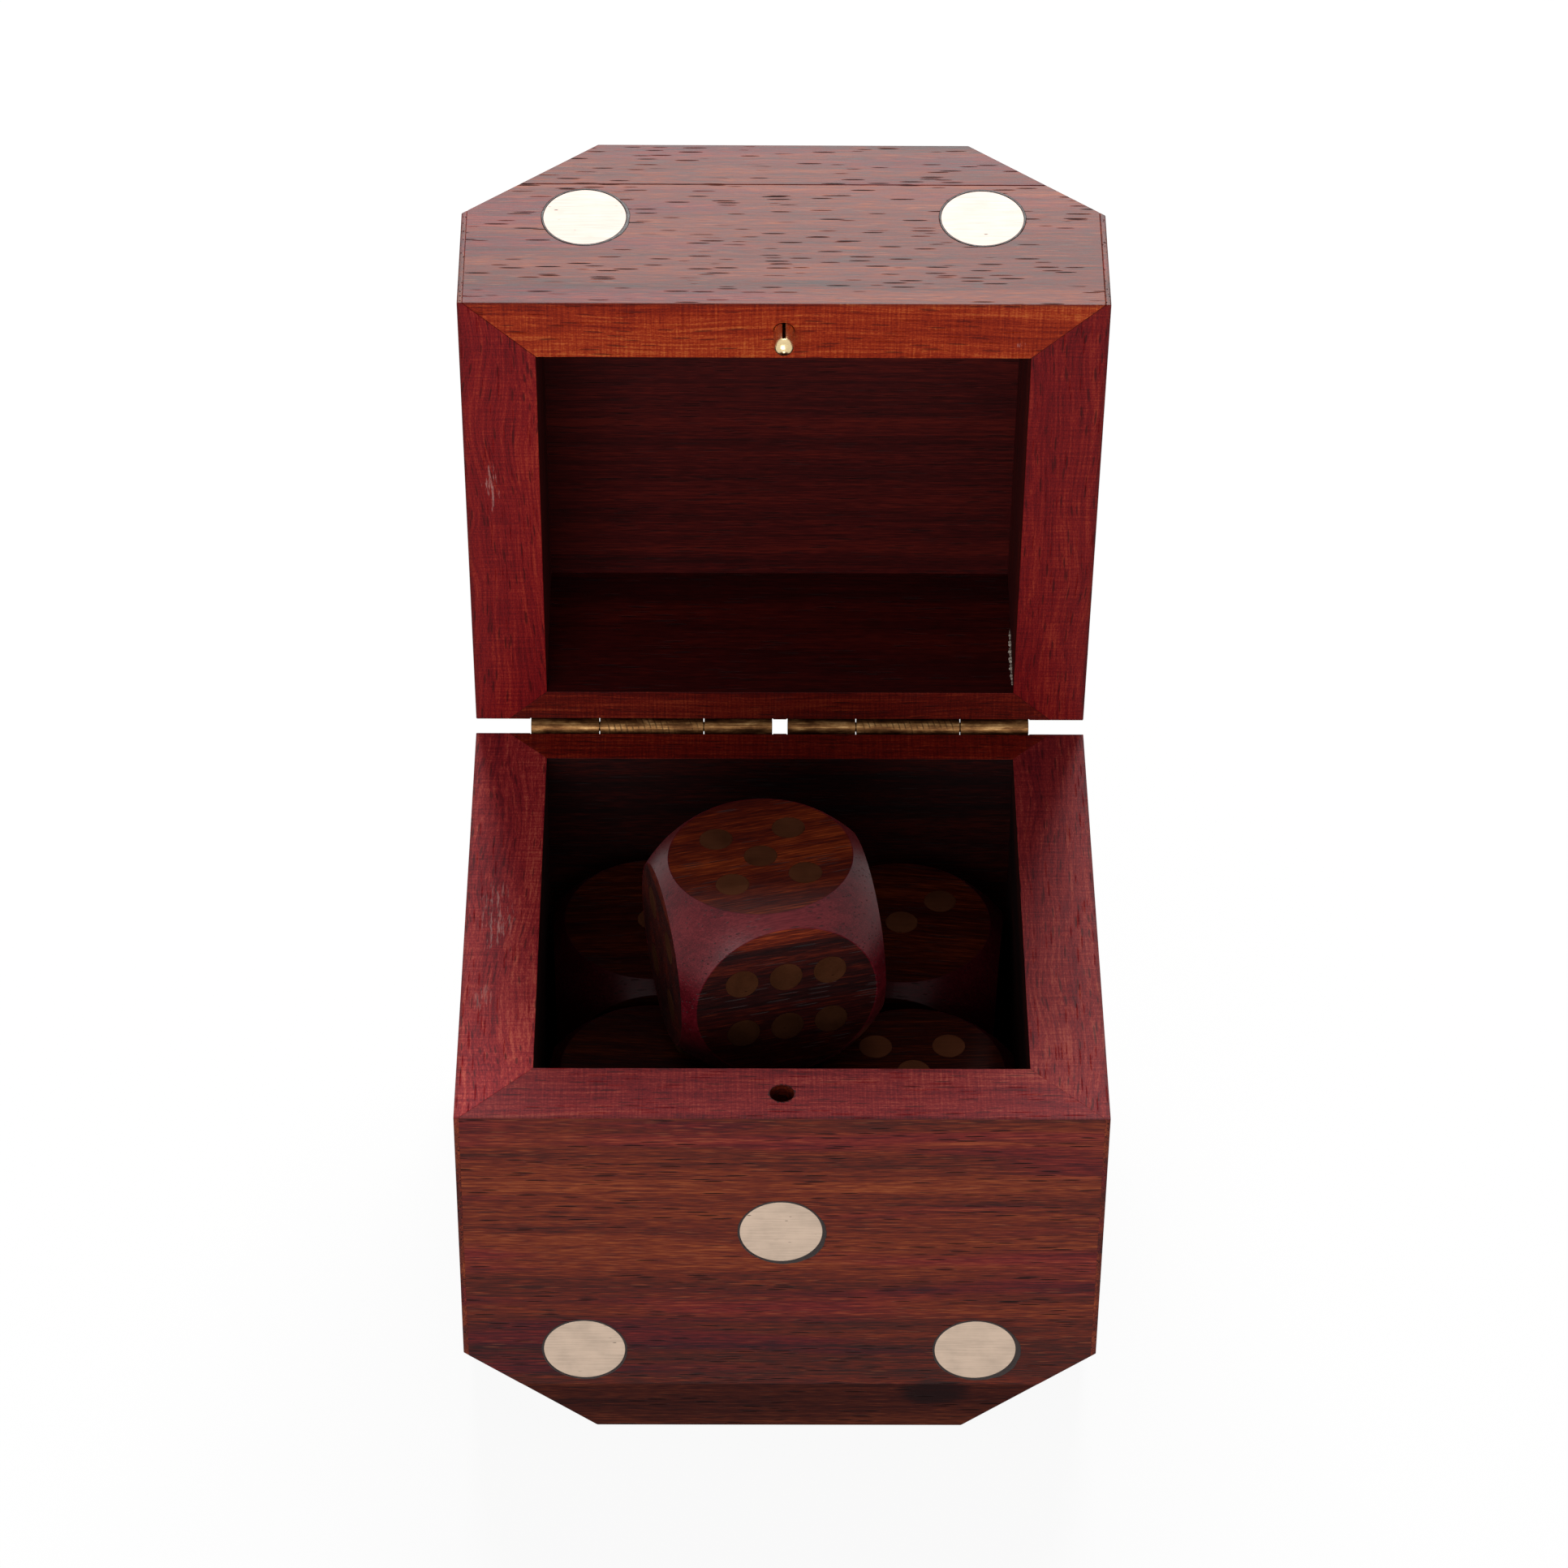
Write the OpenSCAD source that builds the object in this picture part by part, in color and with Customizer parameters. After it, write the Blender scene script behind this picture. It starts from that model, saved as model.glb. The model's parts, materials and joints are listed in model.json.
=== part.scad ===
// Wooden dice box with a hinged lid, shaped like a big die: two mitred boxes of red-brown
// wood with inlaid brass pips, two brass hinges, a split brass catch pin and five dice.
// Millimetres. +X is the box's right, +Y its back, +Z up. The origin is the middle of the underside.

/* [Box] */
// Width of the box, side to side
box_w = 63.5; // [57:0.5:80]
// Depth of the box, front to back
box_d = 58; // [50:0.5:75]
// Height of the base
base_h = 43.3; // [38:0.1:60]
// Height of the lid
lid_h = 23.9; // [20:0.1:35]
// Thickness of the side walls
side_t = 7.5; // [5:0.1:7.8]
// Thickness of the front walls
front_t = 7; // [5:0.1:7.4]
// Thickness of the back walls
back_t = 4.2; // [3.6:0.1:4.6]
// Thickness of the floor panel and of the top panel
panel_t = 6.1; // [4:0.1:6.4]
// Rise of the floor panel's raised field, which stands inside the walls
floor_rise = 4.6; // [3:0.1:6]
// Hairline between the two rims when the lid is shut
rim_gap = 0.2; // [0.1:0.05:0.4]
// Length along the width and the depth that each corner cut takes off
corner_cut_w = 13.3; // [6:0.1:15]
// Length along the height that each corner cut takes off
corner_cut_h = 10.6; // [6:0.1:12]
// Bevel along both rims on the hinge side
arris = 0.2; // [0.1:0.05:0.5]

/* [Lid] */
// Angle at which the lid stands open
open_angle = 84; // [0:1:170]

/* [Box pips] */
// Diameter of a brass pip
pip_d = 8.2; // [5:0.1:8.6]
// Thickness of a brass pip
pip_t = 2; // [1:0.1:2.6]
// Glue line round a pip
pip_glue = 0.15; // [0.05:0.05:0.3]
// Distance of the outer pips from the box's side edges
pip_inset = 12.15; // [10:0.05:14]
// Height of the low pips above the table, and drop of the high pips below the top
pip_rise = 11.1; // [10.8:0.1:11.4]
// Height of the middle pip of the front and of the right side
pip_mid = 27.8; // [22:0.1:32]

/* [Hinges] */
// Length of each hinge
hinge_l = 25.2; // [16:0.1:26]
// Space between the two hinges
hinge_space = 1.6; // [0.6:0.1:4]
// Outer diameter of the hinge barrel
barrel_d = 2; // [1.6:0.1:2.2]
// Distance of the hinge axis behind the box's back
barrel_set = 0.8; // [0.75:0.05:1.4]
// Room for the barrel in the grooves of both rims, on the radius
barrel_room = 0.1; // [0.05:0.05:0.2]
// Diameter of the hinge pin
hinge_pin_d = 1; // [0.7:0.05:1.1]
// Play between the hinge pin and the knuckles, on the radius
hinge_play = 0.03; // [0.02:0.01:0.08]
// Length of each end knuckle
end_knuckle_l = 7.1; // [4:0.1:7.4]
// Gap between two knuckles
knuckle_gap = 0.1; // [0.05:0.05:0.3]
// Thickness of a hinge leaf
leaf_t = 0.6; // [0.4:0.05:0.65]
// Height of a hinge leaf on the wood
leaf_h = 6; // [4:0.1:6.3]
// Gap between a leaf and the other leaf's knuckle
leaf_gap = 0.1; // [0.05:0.05:0.4]
// Diameter of a nail's shank
nail_d = 0.9; // [0.6:0.05:1.1]
// Diameter of a nail's head
nail_head_d = 1.9; // [1.5:0.1:2.4]
// Thickness of a nail's head
nail_head_t = 0.25; // [0.15:0.05:0.3]
// Length of a nail's shank
nail_l = 3.6; // [2:0.1:4]
// Distance of the nails from the middle of their leaf
nail_spread = 8.6; // [4:0.1:10]

/* [Catch] */
// Diameter of the split catch pin
catch_d = 2; // [1.4:0.1:2.4]
// Length of the catch pin that stands out of the lid's rim
catch_out = 3.1; // [2:0.1:4]
// Length of the catch pin held in the lid
catch_in = 6; // [4:0.1:8]
// Length of the catch pin's tip, which the slit leaves whole
tip_l = 1; // [0.6:0.1:1.4]
// Width of the catch pin's slit
slit_w = 0.3; // [0.2:0.05:0.5]
// Length of the catch pin's slit
slit_l = 4.4; // [3:0.1:6]
// Play between the catch pin and its hole in the base, on the radius
catch_play = 0.2; // [0.15:0.05:0.4]
// Room under the catch pin's tip when the lid is shut
catch_room = 1.2; // [0.5:0.1:2]

/* [Dice] */
// Room that two dice leave beside them across the base's tighter side
die_room = 5.2; // [4.4:0.1:8]
// How much wider the ball that rounds a die's corners is than the die
die_ball_over = 7; // [6:0.1:8]
// Diameter of a die's brass pip
die_pip_d = 3.3; // [2:0.1:3.6]
// Thickness of a die's brass pip
die_pip_t = 0.8; // [0.4:0.1:1.2]
// Half the distance between the outer pips of a two, three, four or five
five_spread = 3.7; // [3:0.1:4.2]
// Distance between neighbours in a row of a six
six_pitch = 4.45; // [3.8:0.05:5]
// Half the distance between the rows of a six
six_spread = 3.15; // [2.4:0.05:3.6]
// Air between a die and what it lies on or against
die_air = 0.3; // [0.1:0.05:0.4]

/* [Hidden] */
$fn = 96;
// How far a cut is carried past a face, the play of a glued or driven pin on the radius, and
// the play round the floor panel's raised field
through = 1;
press_play = 0.02;
floor_play = 0.1;

wood_front = [0.48, 0.17, 0.1];
wood_side = [0.44, 0.14, 0.09];
wood_lid = [0.55, 0.22, 0.13];
wood_die = [0.4, 0.1, 0.07];
brass = [0.72, 0.58, 0.36];
old_brass = [0.55, 0.42, 0.22];

half_w = box_w / 2;
half_d = box_d / 2;
in_x = half_w - side_t;
in_front = -half_d + front_t;
in_back = half_d - back_t;
floor_z = panel_t + floor_rise;
lid_z = base_h + rim_gap;
total_h = lid_z + lid_h;

// Each mitre runs at 45 degrees from the inner corner, and to the outer corner at most
front_mitre_x = in_x + min(front_t, side_t);
back_mitre_x = in_x + min(back_t, side_t);
cutter = 3 * max(corner_cut_w, corner_cut_h);

axis_y = half_d + barrel_set;
axis_z = base_h + rim_gap / 2;
hinge_x = (hinge_space + hinge_l) / 2;
mid_knuckle_l = hinge_l - 2 * end_knuckle_l - 2 * knuckle_gap;
leaf_start = barrel_d / 2 + leaf_gap;

pip_x = half_w - pip_inset;
pip_y = half_d - pip_inset;
pip_high = total_h - pip_rise;

catch_y = -half_d + front_t / 2;

// The dice lie two by two in the base
die_size = (min(2 * in_x, in_back - in_front) - die_room) / 2;
die_ball_d = die_size + die_ball_over;
die_flat_r = sqrt(pow(die_ball_d / 2, 2) - pow(die_size / 2, 2));

// The outlines of the walls, seen from above
front_outline = [
    [-front_mitre_x, -half_d], [front_mitre_x, -half_d], [in_x, in_front], [-in_x, in_front]
];
back_outline = [
    [-in_x, in_back], [in_x, in_back], [back_mitre_x, half_d], [-back_mitre_x, half_d]
];
right_outline = [
    [front_mitre_x, -half_d], [half_w, -half_d], [half_w, half_d],
    [back_mitre_x, half_d], [in_x, in_back], [in_x, in_front]
];

// Where the pips sit on each face: across the face, and the height above the table
base_front_spots = [[-pip_x, pip_rise], [pip_x, pip_rise], [0, pip_mid]];
lid_front_spots = [[-pip_x, pip_high], [pip_x, pip_high]];
base_back_spots = [[-pip_x, pip_rise]];
lid_back_spots = [[pip_x, pip_high]];
base_left_spots = [[-pip_y, pip_rise], [pip_y, pip_rise]];
lid_left_spots = [[-pip_y, pip_high], [pip_y, pip_high]];
base_right_spots = [[-pip_y, pip_rise], [0, pip_mid]];
lid_right_spots = [[pip_y, pip_high]];
lid_top_spots = [for (x = [-pip_x, pip_x], y = [-pip_y, 0, pip_y]) [x, y]];

// Cuts one corner off a box. The signs sx, sy and up name the corner, and z is its height.
module corner_cut(sx, sy, up, z) {
    normal = [sx / corner_cut_w, sy / corner_cut_w, up / corner_cut_h];
    unit = normal / norm(normal);
    foot = [sx * half_w, sy * half_d, z] - unit / norm(normal);
    translate(foot)
        rotate([0, acos(unit[2]), atan2(unit[1], unit[0])])
            translate([-cutter / 2, -cutter / 2, 0])
                cube([cutter, cutter, cutter / 2]);
}

module bottom_corner_cuts() {
    for (sx = [-1, 1], sy = [-1, 1]) corner_cut(sx, sy, -1, 0);
}

module top_corner_cuts() {
    for (sx = [-1, 1], sy = [-1, 1]) corner_cut(sx, sy, 1, total_h);
}

// Bevels a rim's back edge at height z
module arris_cut(z) {
    translate([0, half_d, z])
        rotate([45, 0, 0])
            cube([box_w + 2 * through, arris * sqrt(2), arris * sqrt(2)], center = true);
}

// The grooves in both rims that the hinge barrels lie in
module barrel_grooves() {
    for (side = [-1, 1])
        at_hinge(side)
            rotate([0, 90, 0])
                cylinder(d = barrel_d + 2 * barrel_room, h = hinge_l + 2 * barrel_room, center = true);
}

// Lays its children on a face, with their +Z pointing out of it
module on_front(spots) {
    for (s = spots) translate([s[0], -half_d, s[1]]) rotate([90, 0, 0]) children();
}

module on_back(spots) {
    for (s = spots) translate([s[0], half_d, s[1]]) rotate([-90, 0, 0]) children();
}

module on_left(spots) {
    for (s = spots) translate([-half_w, s[0], s[1]]) rotate([0, -90, 0]) children();
}

module on_right(spots) {
    for (s = spots) translate([half_w, s[0], s[1]]) rotate([0, 90, 0]) children();
}

module on_top(spots) {
    for (s = spots) translate([s[0], s[1], total_h]) children();
}

module box_pip() {
    color(brass) translate([0, 0, -pip_t]) cylinder(d = pip_d, h = pip_t);
}

module box_pip_pocket() {
    translate([0, 0, -pip_t]) cylinder(d = pip_d + 2 * pip_glue, h = pip_t + through);
}

// Stands the shut lid open, about the axis of the hinge pins
module lid_open() {
    translate([0, axis_y, axis_z])
        rotate([-open_angle, 0, 0])
            translate([0, -axis_y, -axis_z])
                children();
}

// A wall from z0 to z1 on one of the outlines
module wall(outline, z0, z1) {
    translate([0, 0, z0]) linear_extrude(z1 - z0) polygon(outline);
}

module panel(z0) {
    translate([-half_w, -half_d, z0]) cube([box_w, box_d, panel_t]);
}

// Base

// The part of the floor panel that stands up inside the walls
module floor_field() {
    translate([-in_x + floor_play, in_front + floor_play, 0])
        cube([2 * (in_x - floor_play), in_back - in_front - 2 * floor_play, floor_z]);
}

module base_floor_panel() {
    color(wood_front) difference() {
        union() {
            panel(0);
            floor_field();
        }
        bottom_corner_cuts();
    }
}

module base_front_wall() {
    color(wood_front) difference() {
        wall(front_outline, panel_t, base_h);
        bottom_corner_cuts();
        on_front(base_front_spots) box_pip_pocket();
        translate([0, catch_y, base_h - catch_out - catch_room])
            cylinder(d = catch_d + 2 * catch_play, h = catch_out + catch_room + through);
    }
}

module base_back_wall() {
    color(wood_front) difference() {
        wall(back_outline, panel_t, base_h);
        bottom_corner_cuts();
        arris_cut(base_h);
        barrel_grooves();
        on_back(base_back_spots) box_pip_pocket();
        nail_holes(-1);
    }
}

module base_left_wall() {
    color(wood_side) difference() {
        mirror([1, 0, 0]) wall(right_outline, panel_t, base_h);
        bottom_corner_cuts();
        arris_cut(base_h);
        barrel_grooves();
        on_left(base_left_spots) box_pip_pocket();
        nail_holes(-1);
    }
}

module base_right_wall() {
    color(wood_side) difference() {
        wall(right_outline, panel_t, base_h);
        bottom_corner_cuts();
        arris_cut(base_h);
        barrel_grooves();
        on_right(base_right_spots) box_pip_pocket();
        nail_holes(-1);
    }
}

// Lid

module lid_top_panel() {
    color(wood_lid) lid_open() difference() {
        panel(total_h - panel_t);
        top_corner_cuts();
        on_top(lid_top_spots) box_pip_pocket();
    }
}

module lid_front_wall() {
    color(wood_lid) lid_open() difference() {
        wall(front_outline, lid_z, total_h - panel_t);
        top_corner_cuts();
        on_front(lid_front_spots) box_pip_pocket();
        translate([0, catch_y, lid_z - through])
            cylinder(d = catch_d + 2 * press_play, h = catch_in + through);
    }
}

module lid_back_wall() {
    color(wood_lid) lid_open() difference() {
        wall(back_outline, lid_z, total_h - panel_t);
        top_corner_cuts();
        arris_cut(lid_z);
        barrel_grooves();
        on_back(lid_back_spots) box_pip_pocket();
        nail_holes(1);
    }
}

module lid_left_wall() {
    color(wood_lid) lid_open() difference() {
        mirror([1, 0, 0]) wall(right_outline, lid_z, total_h - panel_t);
        top_corner_cuts();
        arris_cut(lid_z);
        barrel_grooves();
        on_left(lid_left_spots) box_pip_pocket();
        nail_holes(1);
    }
}

module lid_right_wall() {
    color(wood_lid) lid_open() difference() {
        wall(right_outline, lid_z, total_h - panel_t);
        top_corner_cuts();
        arris_cut(lid_z);
        barrel_grooves();
        on_right(lid_right_spots) box_pip_pocket();
        nail_holes(1);
    }
}

// Hinges. side is -1 for the left hinge and 1 for the right one. up is -1 on the base, 1 on the lid.

// Lays its children with their X along the hinge's axis, and with the origin in its middle
module at_hinge(side) {
    translate([side * hinge_x, axis_y, axis_z]) children();
}

// A piece of barrel, with the strip that joins it to its leaf and overlaps that a little
module knuckle(middle, length, up) {
    translate([middle, 0, 0]) {
        rotate([0, 90, 0]) cylinder(d = barrel_d, h = length, center = true);
        translate([-length / 2, -barrel_set, up > 0 ? 0 : -leaf_start - leaf_t])
            cube([length, leaf_t, leaf_start + leaf_t]);
    }
}

module leaf_plate(up) {
    translate([-hinge_l / 2, -barrel_set, up > 0 ? leaf_start : -leaf_start - leaf_h])
        cube([hinge_l, leaf_t, leaf_h]);
}

// Lays its children at the nails of one leaf, with +Z pointing out of the wood
module at_leaf_nails(up) {
    for (s = [-1, 1])
        translate([s * nail_spread, -barrel_set + leaf_t, up * (leaf_start + leaf_h / 2)])
            rotate([-90, 0, 0])
                children();
}

module pin_bore() {
    rotate([0, 90, 0]) cylinder(d = hinge_pin_d + 2 * hinge_play, h = hinge_l + 2 * through, center = true);
}

module leaf(up) {
    end_middle = (hinge_l - end_knuckle_l) / 2;
    difference() {
        union() {
            leaf_plate(up);
            if (up > 0) {
                knuckle(0, mid_knuckle_l, up);
            } else {
                knuckle(-end_middle, end_knuckle_l, up);
                knuckle(end_middle, end_knuckle_l, up);
            }
        }
        pin_bore();
        at_leaf_nails(up)
            translate([0, 0, -leaf_t - through])
                cylinder(d = nail_d + 2 * press_play, h = leaf_t + 2 * through);
    }
}

module base_leaf(side) {
    color(old_brass) at_hinge(side) leaf(-1);
}

module lid_leaf(side) {
    color(old_brass) lid_open() at_hinge(side) leaf(1);
}

module hinge_pin(side) {
    color(old_brass) at_hinge(side) rotate([0, 90, 0]) cylinder(d = hinge_pin_d, h = hinge_l, center = true);
}

module leaf_nails(up) {
    for (side = [-1, 1])
        at_hinge(side)
            at_leaf_nails(up) {
                cylinder(d = nail_head_d, h = nail_head_t);
                translate([0, 0, -nail_l]) cylinder(d = nail_d, h = nail_l);
            }
}

// The holes of the nails in the wood
module nail_holes(up) {
    for (side = [-1, 1])
        at_hinge(side)
            at_leaf_nails(up)
                translate([0, 0, -nail_l]) cylinder(d = nail_d + 2 * press_play, h = nail_l);
}

module hinge_base_nails() {
    color(brass) leaf_nails(-1);
}

module hinge_lid_nails() {
    color(brass) lid_open() leaf_nails(1);
}

// Catch: a split brass pin, driven into the lid's front rim, that springs into a hole in the base

module catch_pin() {
    color(brass) lid_open() translate([0, catch_y, lid_z]) difference() {
        union() {
            translate([0, 0, catch_d / 2 - catch_out])
                cylinder(d = catch_d, h = catch_in + catch_out - catch_d / 2);
            translate([0, 0, catch_d / 2 - catch_out]) sphere(d = catch_d);
        }
        translate([-slit_w / 2, -catch_d, tip_l - catch_out])
            cube([slit_w, 2 * catch_d, slit_l]);
    }
}

// Dice. A die shows five on top, six in front and three on its right, before it is turned.

// Where the pips of a number sit on a face
function die_spots(number) =
    let (s = five_spread)
    number == 6 ? [for (x = [-six_pitch, 0, six_pitch], y = [-six_spread, six_spread]) [x, y]] :
    concat(
        number % 2 == 1 ? [[0, 0]] : [],
        number > 1 ? [[-s, -s], [s, s]] : [],
        number > 3 ? [[-s, s], [s, -s]] : []
    );

// Each face's number, and the turn that brings the top to it
die_faces = [
    [5, [0, 0, 0]], [2, [180, 0, 0]], [6, [90, 0, 0]],
    [1, [90, 0, 180]], [3, [90, 0, 90]], [4, [90, 0, 270]]
];

// Lays its children on all the spots of a die, with +Z pointing out
module on_die() {
    for (face = die_faces)
        rotate(face[1])
            for (s = die_spots(face[0]))
                translate([s[0], s[1], die_size / 2])
                    children();
}

module die_body() {
    color(wood_die) difference() {
        intersection() {
            cube(die_size, center = true);
            sphere(d = die_ball_d);
        }
        on_die()
            translate([0, 0, -die_pip_t])
                cylinder(d = die_pip_d + 2 * press_play, h = die_pip_t + through);
    }
}

module die_pips() {
    color(old_brass) on_die() translate([0, 0, -die_pip_t]) cylinder(d = die_pip_d, h = die_pip_t);
}

// How far a die that stands flat reaches to each side when it is turned by a small angle
function die_reach(yaw) = die_size / 2 * cos(yaw) + die_flat_r * abs(sin(yaw)) + die_air;

// The shares of the dice's room that a front die and a back die leave to the wall they are near
front_share = 0.23;
back_share = 0.135;

// Stands a die on the floor near a corner of the base. roll turns another number up.
module on_floor(sx, sy, yaw, roll) {
    x = sx * (in_x - die_reach(yaw));
    y = sy > 0
        ? in_back - die_reach(yaw) - back_share * die_room
        : in_front + die_reach(yaw) + front_share * die_room;
    translate([x, y, floor_z + die_size / 2]) rotate([0, 0, yaw]) rotate(roll) children();
}

// The fifth die lies on the other four, tilted back and turned a little
top_die_turn = [-3, -1, 13];
top_die_x = -1.8;
top_die_y = -2.2;
top_die_lean = acos(cos(top_die_turn[0]) * cos(top_die_turn[1]));
top_die_z = floor_z + die_size + die_size / 2 * cos(top_die_lean) + die_flat_r * sin(top_die_lean) + die_air;

module on_dice() {
    translate([top_die_x, top_die_y, top_die_z]) rotate(top_die_turn) children();
}

module at_front_left() {
    on_floor(-1, -1, -4, [0, 180, 0]) children();
}

module at_front_right() {
    on_floor(1, -1, 1, [0, 0, 90]) children();
}

module at_back_left() {
    on_floor(-1, 1, 3, [90, 0, 0]) children();
}

module at_back_right() {
    on_floor(1, 1, -6, [0, -90, 90]) children();
}

base_floor_panel();
base_front_wall();
base_back_wall();
base_left_wall();
base_right_wall();
on_front(base_front_spots) box_pip();  // base_front_pips
on_back(base_back_spots) box_pip();  // base_back_pip
on_left(base_left_spots) box_pip();  // base_left_pips
on_right(base_right_spots) box_pip();  // base_right_pips
lid_top_panel();
lid_front_wall();
lid_back_wall();
lid_left_wall();
lid_right_wall();
lid_open() on_front(lid_front_spots) box_pip();  // lid_front_pips
lid_open() on_back(lid_back_spots) box_pip();  // lid_back_pip
lid_open() on_left(lid_left_spots) box_pip();  // lid_left_pips
lid_open() on_right(lid_right_spots) box_pip();  // lid_right_pip
lid_open() on_top(lid_top_spots) box_pip();  // lid_top_pips
base_leaf(-1);  // hinge_left_base_leaf
lid_leaf(-1);  // hinge_left_lid_leaf
hinge_pin(-1);  // hinge_left_pin
base_leaf(1);  // hinge_right_base_leaf
lid_leaf(1);  // hinge_right_lid_leaf
hinge_pin(1);  // hinge_right_pin
hinge_base_nails();
hinge_lid_nails();
catch_pin();
at_front_left() die_body();  // die_front_left
at_front_left() die_pips();  // die_front_left_pips
at_front_right() die_body();  // die_front_right
at_front_right() die_pips();  // die_front_right_pips
at_back_left() die_body();  // die_back_left
at_back_left() die_pips();  // die_back_left_pips
at_back_right() die_body();  // die_back_right
at_back_right() die_pips();  // die_back_right_pips
on_dice() die_body();  // die_top
on_dice() die_pips();  // die_top_pips
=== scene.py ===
"""Dresses the dice box: wood grain, brass, glue lines, hinges and dice, on a pale floor."""
import json
import math

import bmesh
import bpy
from mathutils import Euler, Matrix, Vector


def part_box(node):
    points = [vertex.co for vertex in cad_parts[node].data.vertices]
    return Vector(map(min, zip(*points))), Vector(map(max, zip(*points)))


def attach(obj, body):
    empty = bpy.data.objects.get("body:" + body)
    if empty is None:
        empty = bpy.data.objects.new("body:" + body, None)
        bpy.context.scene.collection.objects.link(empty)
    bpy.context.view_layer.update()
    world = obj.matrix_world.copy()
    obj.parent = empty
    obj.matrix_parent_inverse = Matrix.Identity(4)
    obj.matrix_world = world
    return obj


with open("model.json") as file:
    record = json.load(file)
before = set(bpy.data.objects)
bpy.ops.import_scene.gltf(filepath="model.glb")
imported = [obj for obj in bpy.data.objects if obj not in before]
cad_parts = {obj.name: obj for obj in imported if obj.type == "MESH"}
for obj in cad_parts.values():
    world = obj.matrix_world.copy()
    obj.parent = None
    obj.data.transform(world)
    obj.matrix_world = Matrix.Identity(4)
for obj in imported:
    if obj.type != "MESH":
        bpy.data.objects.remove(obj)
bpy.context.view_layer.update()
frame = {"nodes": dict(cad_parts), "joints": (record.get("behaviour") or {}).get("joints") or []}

MM = 0.001
NODES = frame["nodes"]
HINGE = frame["joints"][0]
HINGE_AT = Vector(HINGE["pos_m"])
OPEN_ANGLE = -math.radians(HINGE["range_deg"][0])


# Sizes, worked out from the frame, in millimetres

def edge(node, corner, axis):
    """A coordinate of a CAD node's box, in mm. corner is 0 for the low one and 1 for the high one."""
    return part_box(node)[corner][axis] / MM


HALF_W = edge("base_floor_panel", 1, 0)
HALF_D = edge("base_floor_panel", 1, 1)
PANEL_T = edge("base_front_wall", 0, 2)
FLOOR_H = edge("base_floor_panel", 1, 2)
BASE_H = edge("base_front_wall", 1, 2)
IN_X = edge("base_right_wall", 0, 0)
IN_FRONT = edge("base_front_wall", 1, 1)
IN_BACK = edge("base_back_wall", 0, 1)
AXIS_Z = HINGE_AT.z / MM
CATCH_R = (edge("catch_pin", 1, 0) - edge("catch_pin", 0, 0)) / 2
CATCH_X = (edge("catch_pin", 1, 0) + edge("catch_pin", 0, 0)) / 2
CATCH_Y = (IN_FRONT - HALF_D) / 2
HINGE_MIDDLE = (edge("hinge_right_pin", 0, 0) + edge("hinge_right_pin", 1, 0)) / 2
LID_Z = 2 * AXIS_Z - BASE_H
OPEN_TURN = Matrix.Rotation(-OPEN_ANGLE, 4, "X")
SHUT_TURN = Matrix.Translation(HINGE_AT) @ OPEN_TURN.inverted() @ Matrix.Translation(-HINGE_AT)
LID_TOP = max((SHUT_TURN @ v.co).z for v in NODES["lid_top_panel"].data.vertices) / MM
CEILING = min((SHUT_TURN @ v.co).z for v in NODES["lid_top_panel"].data.vertices) / MM


# Camera, fitted to the photograph. Its place and its clipping are in metres.

FRAME_PX = 1932
FOCAL_PX = 6733
SENSOR_MM = 36
CAMERA_AT = Vector((-0.00417, -0.40907, 0.41064))
CAMERA_YAW = math.radians(0.609)
CAMERA_PITCH = math.radians(-40.52)
CAMERA_ROLL = math.radians(0.548)
CLIP_START = 0.01
CLIP_END = 50


def make_camera():
    data = bpy.data.cameras.new("camera")
    data.sensor_width = SENSOR_MM
    data.lens = SENSOR_MM * FOCAL_PX / FRAME_PX
    data.clip_start = CLIP_START
    data.clip_end = CLIP_END
    camera = bpy.data.objects.new("camera", data)
    bpy.context.scene.collection.objects.link(camera)
    forward = Vector((
        math.sin(CAMERA_YAW) * math.cos(CAMERA_PITCH),
        math.cos(CAMERA_YAW) * math.cos(CAMERA_PITCH),
        math.sin(CAMERA_PITCH),
    ))
    level = Vector((math.cos(CAMERA_YAW), -math.sin(CAMERA_YAW), 0))
    raised = level.cross(forward)
    right = math.cos(CAMERA_ROLL) * level + math.sin(CAMERA_ROLL) * raised
    up = math.cos(CAMERA_ROLL) * raised - math.sin(CAMERA_ROLL) * level
    turn = Matrix((right, up, -forward)).transposed()
    camera.matrix_world = Matrix.Translation(CAMERA_AT) @ turn.to_4x4()
    bpy.context.scene.camera = camera


# Node building

# How much of a pattern's shift also moves it along its second axis
NOISE_DRIFT = 0.37
DASH_DRIFT = 0.61


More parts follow.
